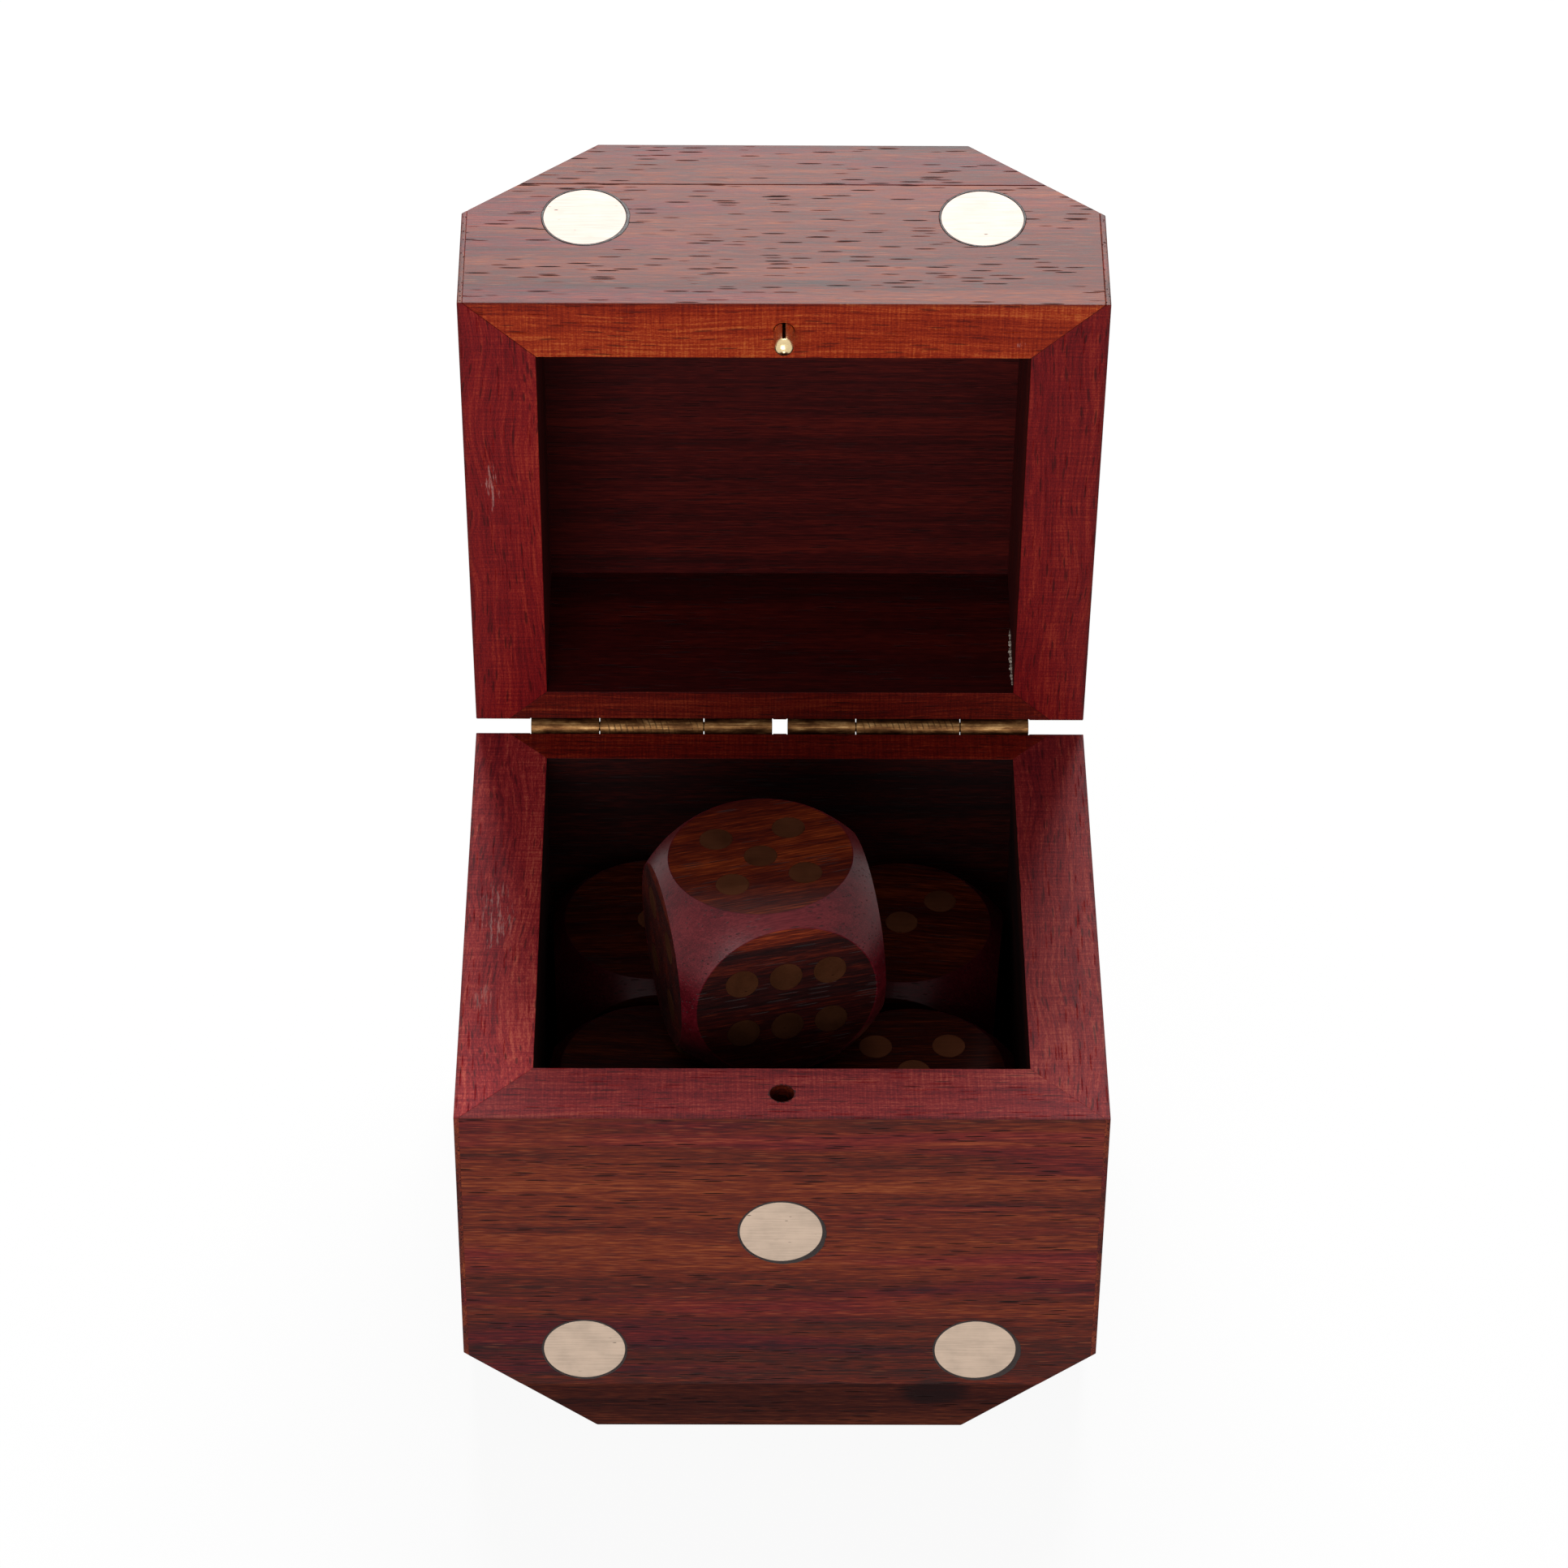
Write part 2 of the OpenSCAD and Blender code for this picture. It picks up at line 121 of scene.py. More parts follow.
class Graph:
    """Builds the nodes of a material or the world. A value is a number, a tuple or a node's output."""

    def __init__(self, owner, output="ShaderNodeOutputMaterial"):
        self.owner = owner
        owner.use_nodes = True
        self.tree = owner.node_tree
        self.tree.nodes.clear()
        self.surface = self.add(output).inputs["Surface"]

    def add(self, kind, **settings):
        node = self.tree.nodes.new(kind)
        for key, value in settings.items():
            setattr(node, key, value)
        return node

    def feed(self, socket, value):
        if isinstance(value, bpy.types.NodeSocket):
            self.tree.links.new(value, socket)
        elif hasattr(value, "__len__") and len(value) == 3 and len(socket.default_value) == 4:
            socket.default_value = (*value, 1)
        else:
            socket.default_value = value

    def math(self, operation, *values):
        node = self.add("ShaderNodeMath", operation=operation)
        for socket, value in zip(node.inputs, values):
            self.feed(socket, value)
        return node.outputs[0]

    def vector(self, x, y, z):
        node = self.add("ShaderNodeCombineXYZ")
        for socket, value in zip(node.inputs, (x, y, z)):
            self.feed(socket, value)
        return node.outputs[0]

    def split(self, vector):
        node = self.add("ShaderNodeSeparateXYZ")
        self.feed(node.inputs[0], vector)
        return node.outputs[0], node.outputs[1], node.outputs[2]

    def stretched(self, point, sizes, shift, drift):
        """The point over a size in mm for each of its axes, and shifted."""
        x, y, z = point
        return self.vector(
            self.math("MULTIPLY_ADD", x, 1 / sizes[0], shift),
            self.math("MULTIPLY_ADD", y, 1 / sizes[1], shift * drift),
            self.math("MULTIPLY", z, 1 / sizes[2]),
        )

    def noise(self, vector, detail):
        node = self.add("ShaderNodeTexNoise", noise_dimensions="3D")
        self.feed(node.inputs["Vector"], vector)
        self.feed(node.inputs["Scale"], 1.0)
        self.feed(node.inputs["Detail"], detail)
        return node

    def scaled_noise(self, point, sizes, shift=0.0, detail=2.0, roughness=0.5):
        """Noise over a point, with a size in mm for each of its axes."""
        node = self.noise(self.stretched(point, sizes, shift, NOISE_DRIFT), detail)
        self.feed(node.inputs["Roughness"], roughness)
        return node.outputs["Fac"]

    def dashes(self, point, pitch, shift, full, gone):
        """Scattered dashes as a mask. pitch is the mm from one dash to the next along each axis."""
        node = self.add("ShaderNodeTexVoronoi", voronoi_dimensions="3D", feature="F1")
        self.feed(node.inputs["Vector"], self.stretched(point, pitch, shift, DASH_DRIFT))
        self.feed(node.inputs["Scale"], 1.0)
        return self.step(node.outputs["Distance"], gone, full)

    def step(self, value, low, high):
        """0 at low, 1 at high, smooth between them. low may be above high."""
        node = self.add("ShaderNodeMapRange", interpolation_type="SMOOTHSTEP")
        self.feed(node.inputs["Value"], value)
        self.feed(node.inputs["From Min"], low)
        self.feed(node.inputs["From Max"], high)
        return node.outputs["Result"]

    def ramp(self, value, stops):
        node = self.add("ShaderNodeValToRGB")
        elements = node.color_ramp.elements
        while len(elements) < len(stops):
            elements.new(0.5)
        for element, (place, colour) in zip(elements, stops):
            element.position = place
            element.color = (*colour, 1)
        self.feed(node.inputs[0], value)
        return node.outputs[0]

    def mix(self, share, a, b):
        """A colour that goes from a to b."""
        node = self.add("ShaderNodeMix", data_type="RGBA")
        self.feed(node.inputs[0], share)
        self.feed(node.inputs[6], a)
        self.feed(node.inputs[7], b)
        return node.outputs[2]

    def blend(self, share, a, b):
        """A number that goes from a to b."""
        node = self.add("ShaderNodeMix", data_type="FLOAT")
        self.feed(node.inputs[0], share)
        self.feed(node.inputs[2], a)
        self.feed(node.inputs[3], b)
        return node.outputs[0]

    def both(self, *masks):
        """The product of masks."""
        result = masks[0]
        for mask in masks[1:]:
            result = self.math("MULTIPLY", result, mask)
        return result

    def summed(self, start, *parts):
        """start, plus each pattern times its share."""
        result = start
        for pattern, share in parts:
            result = self.math("MULTIPLY_ADD", pattern, share, result)
        return result

    def length(self, vector):
        node = self.add("ShaderNodeVectorMath", operation="LENGTH")
        self.feed(node.inputs[0], vector)
        return node.outputs["Value"]

    def object_mm(self):
        coordinates = self.add("ShaderNodeTexCoord").outputs["Object"]
        node = self.add("ShaderNodeVectorMath", operation="SCALE")
        self.feed(node.inputs[0], coordinates)
        self.feed(node.inputs["Scale"], 1 / MM)
        return node.outputs[0]

    def turned(self, vector, centre, turn):
        """The vector, measured in the axes of a piece that was turned about centre."""
        moved = self.add("ShaderNodeVectorMath", operation="SUBTRACT")
        self.feed(moved.inputs[0], vector)
        self.feed(moved.inputs[1], centre)
        back = turn.to_matrix().inverted().to_euler()
        rotated = self.add("ShaderNodeVectorRotate", rotation_type="EULER_XYZ")
        self.feed(rotated.inputs["Vector"], moved.outputs[0])
        self.feed(rotated.inputs["Rotation"], back)
        return rotated.outputs[0]

    def seen(self):
        """1 where the camera, gloss or glass looks, and 0 for the light that falls on things."""
        ray = self.add("ShaderNodeLightPath")
        looks = self.math("MAXIMUM", ray.outputs["Is Camera Ray"], ray.outputs["Is Glossy Ray"])
        return self.math("MAXIMUM", looks, ray.outputs["Is Transmission Ray"])

    def bump(self, height, depth_mm):
        node = self.add("ShaderNodeBump")
        node.inputs["Distance"].default_value = depth_mm * MM
        node.inputs["Strength"].default_value = 1.0
        self.feed(node.inputs["Height"], height)
        return node.outputs[0]

    def shade(self, colour, roughness, normal, **constants):
        shader = self.add("ShaderNodeBsdfPrincipled")
        self.feed(shader.inputs["Base Color"], colour)
        self.feed(shader.inputs["Roughness"], roughness)
        self.feed(shader.inputs["Normal"], normal)
        for key, value in constants.items():
            shader.inputs[key.replace("_", " ")].default_value = value
        self.tree.links.new(shader.outputs[0], self.surface)
        return self.owner


def material_graph(name):
    return Graph(bpy.data.materials.new(name))


def scaled(tones, gain):
    """The same tones, lighter or darker."""
    return [(place, shaded(colour, gain)) for place, colour in tones]


def shaded(colour, gain):
    return tuple(c * gain for c in colour)


# Colours of the wood, each ramp from dark late wood to pale early wood

FACE_TONES = [
    (0.33, (0.020, 0.003, 0.002)),
    (0.43, (0.062, 0.007, 0.003)),
    (0.50, (0.108, 0.012, 0.005)),
    (0.57, (0.160, 0.024, 0.007)),
    (0.68, (0.270, 0.060, 0.017)),
]
FLOOR_TONES = [
    (0.33, (0.008, 0.001, 0.001)),
    (0.45, (0.024, 0.003, 0.002)),
    (0.56, (0.048, 0.008, 0.004)),
    (0.70, (0.110, 0.024, 0.010)),
]
PURPLE_TONES = [
    (0.34, (0.018, 0.001, 0.004)),
    (0.46, (0.070, 0.004, 0.006)),
    (0.57, (0.150, 0.012, 0.010)),
    (0.70, (0.270, 0.045, 0.022)),
]
CRIMSON_TONES = [
    (0.34, (0.070, 0.003, 0.007)),
    (0.45, (0.150, 0.007, 0.011)),
    (0.54, (0.235, 0.016, 0.017)),
    (0.66, (0.360, 0.062, 0.040)),
]
ORANGE_TONES = [
    (0.34, (0.100, 0.004, 0.001)),
    (0.45, (0.200, 0.011, 0.001)),
    (0.54, (0.300, 0.026, 0.004)),
    (0.66, (0.470, 0.100, 0.020)),
]
RED_TONES = [
    (0.34, (0.058, 0.001, 0.002)),
    (0.45, (0.118, 0.002, 0.004)),
    (0.54, (0.172, 0.005, 0.005)),
    (0.66, (0.270, 0.026, 0.012)),
]
DEEP_TONES = [
    (0.34, (0.030, 0.001, 0.001)),
    (0.45, (0.060, 0.002, 0.001)),
    (0.54, (0.105, 0.005, 0.002)),
    (0.66, (0.190, 0.024, 0.007)),
]
# Inside the lid and inside the base: dark inner wood, darkened further with painted shade of the cavity
CEILING_SHADE_TONES = [
    (0.36, (0.012, 0.0003, 0.0003)),
    (0.50, (0.030, 0.001, 0.001)),
    (0.64, (0.065, 0.004, 0.002)),
]
CAVITY_SHADE_TONES = [
    (0.36, (0.002, 0.0001, 0.0001)),
    (0.50, (0.008, 0.0004, 0.0004)),
    (0.64, (0.030, 0.002, 0.001)),
]
# The dark of the pores, also painted as shade inside the catch's hole
PORE_AND_SHADE = (0.006, 0.002, 0.002)
FLECK = (0.34, 0.10, 0.04)
SCUFF = (0.62, 0.40, 0.36)


# Patterns of the wood: sizes in mm, along the grain and in the two directions across it

BANDS = (160.0, 3.4, 3.4)
STREAKS = (15.0, 0.34, 0.34)
FIBRES = (2.2, 0.11, 0.11)
CROWDS = (30.0, 1.1, 1.1)
PORE_PITCH = (5.2, 0.34, 0.34)
FLECK_PITCH = (4.4, 0.26, 0.26)
PATCHES = (60.0, 5.0, 1.0)
RIM_BANDS = (60.0, 2.6, 2.6)
RIM_STREAKS = (11.0, 0.28, 0.28)
RIM_LINE_PITCH = (4.6, 0.44, 0.44)
GRIT = (0.34, 0.14, 0.3)
SAW_MARKS = (0.20, 6.0, 1.0)

# Sizes in mm, along x, y and z, of the strokes in a scuff and of the rags of the hole's stain
SCUFF_STROKES = (0.24, 2.2, 3.0)
STAIN_RAGS = (0.30, 0.22, 1.0)

# Lengths in mm of the slow waves in the grain, and their height and their width as shares of it.
# The rims have a wave height of their own.
PLANK_WAVE = 70.0
DIE_WAVE = 40.0
RIM_WAVE = 22.0
WAVE_HEIGHT = 0.010
WAVE_WIDTH = 0.45

# Shares of the patterns in the tone, and the level that brings their sum to the middle of the ramps
BAND_SHARE = 0.46
STREAK_SHARE = 0.42
FIBRE_SHARE = 0.52
GRAIN_LEVEL = -0.20
RIM_BAND_SHARE = 0.26
RIM_STREAK_SHARE = 0.46
GRIT_SHARE = 0.36
SAW_SHARE = 0.30
RIM_LEVEL = -0.19

# How much a knot, and the painted shade on the low part of a face, take off the tone
KNOT_TONE = -0.22
LOW_PAINTED_SHADE = -0.07

# Strengths of the marks: pores outside and inside the box, lines on the rim, darkened edges and stain
PORE_STRENGTH = 0.9
DEEP_PORE_STRENGTH = 0.6
RIM_LINE_STRENGTH = 0.7
EDGE_DARK_STRENGTH = 0.35
STAIN_STRENGTH = 0.9

# Distances in mm over which a mask comes in: none at the first, all at the second
FLAT_NEAR = (0.10, 0.04)
WALL_NEAR = (0.08, 0.03)
EDGE_DARK_FACE = (0.55, 0.05)
EDGE_DARK_RIM = (0.45, 0.05)
BORE_NEAR = (0.16, 0.08)
STAIN_FADE = 0.2

PORE_DEPTH_MM = 0.05
SPECULAR = 0.12


def grain_axes(grain, x, y, z):
    """Along the grain, across it, and across it the other way."""
    return {"X": (x, y, z), "Y": (y, x, z)}[grain]


def warped(g, point, seed, wave, height):
    """The point with its cross axes pushed aside by slow waves, wave mm long and height mm high."""
    x, y, z = point
    width = wave * WAVE_WIDTH
    vector = g.vector(
        g.math("MULTIPLY_ADD", x, 1 / wave, seed * 3.1),
        g.math("MULTIPLY", y, 1 / width),
        g.math("MULTIPLY", z, 1 / width),
    )
    red, green, _ = g.split(g.noise(vector, 1.5).outputs["Color"])
    y = g.math("ADD", y, g.math("MULTIPLY_ADD", red, height, -height / 2))
    z = g.math("ADD", z, g.math("MULTIPLY_ADD", green, height, -height / 2))
    return x, y, z


def grain_layers(g, point, seed, wave):
    """Tone round 0.5, fine fibres, dark pores and pale flecks of straight-grained wood."""
    warp = warped(g, point, seed, wave, wave * WAVE_HEIGHT)
    bands = g.scaled_noise(warp, BANDS, seed * 2.3, roughness=0.55)
    streaks = g.scaled_noise(warp, STREAKS, seed * 5.9, detail=4.0, roughness=0.68)
    fibres = g.scaled_noise(warp, FIBRES, seed, roughness=0.6)
    tone = g.summed(GRAIN_LEVEL, (bands, BAND_SHARE), (streaks, STREAK_SHARE), (fibres, FIBRE_SHARE))
    crowd = g.scaled_noise(warp, CROWDS, seed * 7.7)
    pore_dashes = g.dashes(warp, PORE_PITCH, seed, full=0.16, gone=0.26)
    fleck_dashes = g.dashes(warp, FLECK_PITCH, seed + 9.0, full=0.14, gone=0.25)
    pores = g.both(pore_dashes, g.step(crowd, 0.40, 0.52))
    flecks = g.both(fleck_dashes, g.step(crowd, 0.58, 0.44))
    return tone, fibres, pores, flecks


def oval(g, x, y, at, reach, full):
    """A mask of an oval spot: 0 outside its reach, 1 up to the squared share of it that full is."""
    far_x = g.math("POWER", g.math("MULTIPLY_ADD", x, 1 / reach[0], -at[0] / reach[0]), 2.0)
    far_y = g.math("POWER", g.math("MULTIPLY_ADD", y, 1 / reach[1], -at[1] / reach[1]), 2.0)
    return g.step(g.math("ADD", far_x, far_y), 1.0, full)


def scuffs(g, point, spots):
    """Pale rubbed strokes. A spot is its x and y, its reach across and along, and its strength."""
    x, y, _ = point
    strokes = g.scaled_noise(point, SCUFF_STROKES, 4.0, detail=3.0, roughness=0.7)
    result = 0.0
    for at_x, at_y, reach_x, reach_y, strength in spots:
        near = oval(g, x, y, (at_x, at_y), (reach_x, reach_y), full=0.1)
        drawn = g.step(g.summed(strokes, (near, 0.16)), 0.66, 0.78)
        result = g.math("MAXIMUM", result, g.math("MULTIPLY", g.both(drawn, near), strength))
    return result


def shut_point(g, in_lid):
    """The point in the shut box's millimetres."""
    point = g.object_mm()
    if not in_lid:
        return point
    shut = g.turned(point, HINGE_AT / MM, Euler((-OPEN_ANGLE, 0, 0)))
    back = g.add("ShaderNodeVectorMath", operation="ADD")
    g.feed(back.inputs[0], shut)
    g.feed(back.inputs[1], HINGE_AT / MM)
    return back.outputs[0]


def beyond(g, value, plane, way, near):
    """1 where the value is at the plane or beyond it. way is 1 towards low values and -1 towards high."""
    return g.step(value, plane + way * near[0], plane + way * near[1])


def box_masks(g, x, y, z, in_lid):
    """Where the rim is, and where the cavity's own faces are."""
    rim_z, bottom_z, way = (LID_Z, CEILING, 1) if in_lid else (BASE_H, FLOOR_H, -1)
    rim = beyond(g, z, rim_z, way, FLAT_NEAR)
    within = g.both(
        beyond(g, g.math("ABSOLUTE", x), IN_X, 1, WALL_NEAR),
        beyond(g, y, IN_FRONT, -1, WALL_NEAR),
        beyond(g, y, IN_BACK, 1, WALL_NEAR),
    )
    inside = g.both(within, beyond(g, z, bottom_z, way, FLAT_NEAR), g.math("SUBTRACT", 1.0, rim))
    return rim, inside


def dark_edges(g, x, y, z, in_lid):
    """1 near the outer edges, where the wood is darker."""
    side = g.math("SUBTRACT", HALF_W, g.math("ABSOLUTE", x))
    face = g.math("SUBTRACT", HALF_D, g.math("ABSOLUTE", y))
    low, high = (LID_Z, LID_TOP) if in_lid else (0.0, BASE_H)
    top = g.math("MINIMUM", g.math("SUBTRACT", z, low), g.math("SUBTRACT", high, z))
    near_side = g.step(side, *EDGE_DARK_FACE)
    near_face = g.step(face, *EDGE_DARK_FACE)
    near_top = g.step(top, *EDGE_DARK_RIM)
    pairs = [g.both(near_side, near_face), g.both(near_side, near_top), g.both(near_face, near_top)]
    return g.math("MAXIMUM", g.math("MAXIMUM", pairs[0], pairs[1]), pairs[2])


class Plank:
    """How one plank looks: its grain's direction, its colours and its marks.

    rim_wave is the height in mm of the waves in the rim's grain. A knot is its x and z and its reach.
    hole_stain_and_shade is the reach of the stain round the catch's hole, which is also filled with
    painted shade.
    Below painted_shade_below the face grows darker with painted shade.
    streaked is the colours of the streaks among face_tones, and fleck the strength of the pale flecks.
    """

    def __init__(self, grain, seed, rim_tones, face_tones=FACE_TONES, streaked=PURPLE_TONES, rim_wave=2.0,
                 spots=(), knot=None, hole_stain_and_shade=None, painted_shade_below=None, fleck=0.36, specular=SPECULAR):
        self.grain = grain
        self.seed = seed
        self.rim_tones = rim_tones
        self.face_tones = face_tones
        self.streaked = streaked
        self.rim_wave = rim_wave
        self.spots = spots
        self.knot = knot
        self.hole_stain_and_shade = hole_stain_and_shade
        self.painted_shade_below = painted_shade_below
        self.fleck = fleck
        self.specular = specular


def face_colour(g, plank, layers, x, z):
    tone, _, pores, flecks = layers
    if plank.knot:
        at_x, at_z, reach = plank.knot
        near = oval(g, x, z, (at_x, at_z), (2 * reach, reach), full=0.0)
        tone = g.summed(tone, (near, KNOT_TONE))
    # Painted shade: the face grows darker towards the floor
    if plank.painted_shade_below:
        tone = g.summed(tone, (g.step(z, plank.painted_shade_below, 0.0), LOW_PAINTED_SHADE))
    patch = g.step(g.scaled_noise((x, z, 0.0), PATCHES, plank.seed * 1.7), 0.50, 0.62)
    colour = g.mix(patch, g.ramp(tone, plank.face_tones), g.ramp(tone, plank.streaked))
    colour = g.mix(g.math("MULTIPLY", flecks, plank.fleck), colour, FLECK)
    return g.mix(g.math("MULTIPLY", pores, PORE_STRENGTH), colour, PORE_AND_SHADE)


def rim_colour(g, plank, point):
    """Sanded rim: wavy grain along the wall, crossed by fine saw marks. Also gives the marks' height."""
    along, across, _ = point
    warp = warped(g, point, plank.seed + 20.0, RIM_WAVE, plank.rim_wave)
    streaks = g.scaled_noise(warp, RIM_STREAKS, plank.seed * 3.3, detail=3.0, roughness=0.6)
    bands = g.scaled_noise(warp, RIM_BANDS, plank.seed * 1.9)
    grit = g.scaled_noise(point, GRIT, plank.seed, roughness=0.7)
    saw = g.scaled_noise((along, across, 0.0), SAW_MARKS, plank.seed * 4.1, roughness=0.7)
    grain = g.summed(RIM_LEVEL, (bands, RIM_BAND_SHARE), (streaks, RIM_STREAK_SHARE))
    tone = g.summed(grain, (grit, GRIT_SHARE), (saw, SAW_SHARE))
    dashes = g.dashes(warp, RIM_LINE_PITCH, plank.seed + 3.0, full=0.16, gone=0.28)
    lines = g.math("MULTIPLY", dashes, RIM_LINE_STRENGTH)
    darkest = plank.rim_tones[0][1]
    colour = g.mix(lines, g.ramp(tone, plank.rim_tones), shaded(darkest, 0.5))
    return colour, g.summed(grit, (saw, 0.6))


def hole_stain_and_shade(g, x, y, rim, reach):
    """A ragged dark ring round the hole for the catch, and painted shade inside the hole."""
    far_x = g.math("POWER", g.math("SUBTRACT", x, CATCH_X), 2.0)
    far_y = g.math("POWER", g.math("SUBTRACT", y, CATCH_Y), 2.0)
    far = g.math("SQRT", g.math("ADD", far_x, far_y))
    rag = g.scaled_noise((x, y, 0.0), STAIN_RAGS, 2.0, detail=3.0, roughness=0.6)
    ring = g.step(g.summed(far, (rag, -1.1)), reach, reach - STAIN_FADE)
    # Painted shade: all within the hole's radius is darkened
    painted_shade_bore = beyond(g, far, CATCH_R, 1, BORE_NEAR)
    return g.math("MAXIMUM", g.math("MULTIPLY", ring, g.math("MULTIPLY", rim, STAIN_STRENGTH)), painted_shade_bore)


def wood(name, plank, in_lid):
    """One plank's wood: waxed outside, sawn on the rim, and dark inside the box, darkened further there
    with painted shade.
    """
    g = material_graph(name)
    x, y, z = g.split(shut_point(g, in_lid))
    point = grain_axes(plank.grain, x, y, z)
    layers = grain_layers(g, point, plank.seed, PLANK_WAVE)
    tone, fibres, pores, _ = layers
    rim, inside = box_masks(g, x, y, z, in_lid)

    sawn, saw_height = rim_colour(g, plank, point)
    # Painted shade: the faces inside the box take these much darker tones
    deep = g.ramp(tone, CEILING_SHADE_TONES if in_lid else CAVITY_SHADE_TONES)
    deep = g.mix(g.math("MULTIPLY", pores, DEEP_PORE_STRENGTH), deep, PORE_AND_SHADE)
    colour = g.mix(rim, face_colour(g, plank, layers, point[0], z), sawn)
    colour = g.mix(inside, colour, deep)
    edge_dark = g.math("MULTIPLY", dark_edges(g, x, y, z, in_lid), EDGE_DARK_STRENGTH)
    colour = g.mix(edge_dark, colour, PORE_AND_SHADE)
    if plank.hole_stain_and_shade:
        colour = g.mix(hole_stain_and_shade(g, x, y, rim, plank.hole_stain_and_shade), colour, PORE_AND_SHADE)
    if plank.spots:
        colour = g.mix(g.both(scuffs(g, (x, y, z), plank.spots), rim), colour, SCUFF)

    rough = g.summed(0.34, (fibres, 0.16), (pores, 0.45), (g.math("MAXIMUM", rim, inside), 0.16))
    height = g.summed(0.0, (fibres, 0.22), (pores, -1.0), (g.both(rim, saw_height), 0.35))
    return g.shade(colour, rough, g.bump(height, PORE_DEPTH_MM), Specular_IOR_Level=plank.specular)


# Brass

PIP_TINT = (0.58, 0.445, 0.345)
LID_PIP_TINT = (0.58, 0.485, 0.44)
# The dice's pips: brass darkened with painted shade
DIE_PIP_SHADED_TINT = (0.105, 0.036, 0.016)
BRIGHT_TINT = (0.80, 0.62, 0.34)
TARNISH_TONES = [
    (0.34, (0.024, 0.010, 0.004)),
    (0.46, (0.075, 0.032, 0.012)),
    (0.56, (0.165, 0.082, 0.030)),
    (0.68, (0.400, 0.245, 0.105)),
]
FILED_TINT = (0.02, 0.010, 0.005)

# Sizes in mm of the marks in the brass. File marks are only round the middle of each hinge.
SCRATCH_L = 5.0
DULL_PATCHES = (2.6, 2.6, 2.6)
NICK_PITCH = (2.4, 0.7, 0.7)
NICK_DEPTH_MM = 0.010
DRAWN_LINES = (7.0, 0.10, 0.10)
STAINS = (2.4, 0.8, 0.8)
FILE_PITCH = 0.62
FILE_SLANT = 0.45
FILED_REACH = (5.2, 4.6)
FILE_DEPTH_MM = 0.008


def brushed_brass(name, tint, roughness, scratch_mm):
    """Sanded brass: fine scratches across it, a few dark nicks and dull patches."""
    g = material_graph(name)
    point = g.split(g.object_mm())
    fine = g.scaled_noise(point, (SCRATCH_L, scratch_mm, scratch_mm), detail=3.0, roughness=0.65)
    patch = g.scaled_noise(point, DULL_PATCHES, 3.0, detail=3.0, roughness=0.6)
    nicks = g.both(g.dashes(point, NICK_PITCH, 5.0, full=0.05, gone=0.11), g.step(patch, 0.48, 0.60))
    tone = g.summed(0.0, (patch, 0.4), (fine, 0.6))
    clean = g.ramp(tone, [(0.36, shaded(tint, 0.80)), (0.56, tint)])
    colour = g.mix(nicks, clean, shaded(tint, 0.25))
    rough = g.summed(roughness - 0.10, (patch, 0.20))
    height = g.summed(fine, (nicks, -0.8))
    return g.shade(colour, rough, g.bump(height, NICK_DEPTH_MM), Metallic=1.0)


def tarnished_brass(name):
    """Old brass of the hinges: gold-brown and stained, with drawn lines along it and slanting marks."""
    g = material_graph(name)
    x, y, z = g.split(g.object_mm())
    lines = g.scaled_noise((x, y, z), DRAWN_LINES, 1.0)
    stains = g.scaled_noise((x, y, z), STAINS, 6.0, detail=4.0, roughness=0.65)
    slant = g.summed(x, (y, FILE_SLANT))
    file_marks = g.math("SINE", g.math("MULTIPLY", slant, 2 * math.pi / FILE_PITCH))
    from_middle = g.math("ABSOLUTE", g.math("SUBTRACT", g.math("ABSOLUTE", x), HINGE_MIDDLE))
    middle = g.step(from_middle, *FILED_REACH)
    filed = g.both(g.step(file_marks, 0.55, 0.95), middle, g.step(stains, 0.42, 0.58))
    tone = g.summed(0.0, (stains, 0.65), (lines, 0.35))
    colour = g.mix(g.math("MULTIPLY", filed, 0.65), g.ramp(tone, TARNISH_TONES), FILED_TINT)
    rough = g.summed(0.26, (stains, 0.34))
    height = g.summed(lines, (filed, -1.2))
    return g.shade(colour, rough, g.bump(height, FILE_DEPTH_MM), Metallic=1.0)


# Dice

# Side faces of a die, darkened with painted shade
DIE_SHADED_SIDE_TONES = [
    (0.34, (0.003, 0.0001, 0.0002)),
    (0.47, (0.010, 0.0004, 0.0004)),
    (0.56, (0.026, 0.0016, 0.0008)),
    (0.68, (0.090, 0.010, 0.003)),
]
# Top face of a die, lightened with painted light
DIE_LIT_TOP_TONES = [
    (0.34, (0.014, 0.0006, 0.0004)),
    (0.47, (0.046, 0.003, 0.0010)),
    (0.56, (0.110, 0.011, 0.002)),
    (0.68, (0.300, 0.050, 0.009)),
]
# Turned corners of a die, lightened with a painted sheen
DIE_ROUND_SHEEN_TONES = [
    (0.36, (0.040, 0.001, 0.003)),
    (0.50, (0.078, 0.003, 0.007)),
    (0.66, (0.130, 0.012, 0.016)),
]
DIE_FLECK = (0.20, 0.03, 0.008)

# Each die: its turn, how light its wood is, and its specular level. The dice low in the box are darkened
# with painted shade.
DICE = {
    "die_top": ((-3.0, -1.0, 13.0), 1.0, 0.22),
    "die_front_left": ((0.0, 0.0, -4.0), 0.35, 0.08),
    "die_front_right": ((0.0, 0.0, 1.0), 0.45, 0.08),
    "die_back_left": ((0.0, 0.0, 3.0), 0.30, 0.08),
    "die_back_right": ((0.0, 0.0, -6.0), 0.45, 0.08),
}

# Where the turned corners of a die begin, in mm from the ball that rounds them, and where its upper
# face begins, as a share of the ball's radius. The upper face gets painted light.
BALL_NEAR = (-0.10, -0.03)
UPPER_FACE = (0.50, 0.55)
DIE_PORE_DEPTH_MM = 0.04


def reach_of(node):
    """The middle of a node's box and how far its mesh reaches from there, in mm."""
    low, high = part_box(node)
    centre = (low + high) / 2
    return centre / MM, max((v.co - centre).length for v in NODES[node].data.vertices) / MM


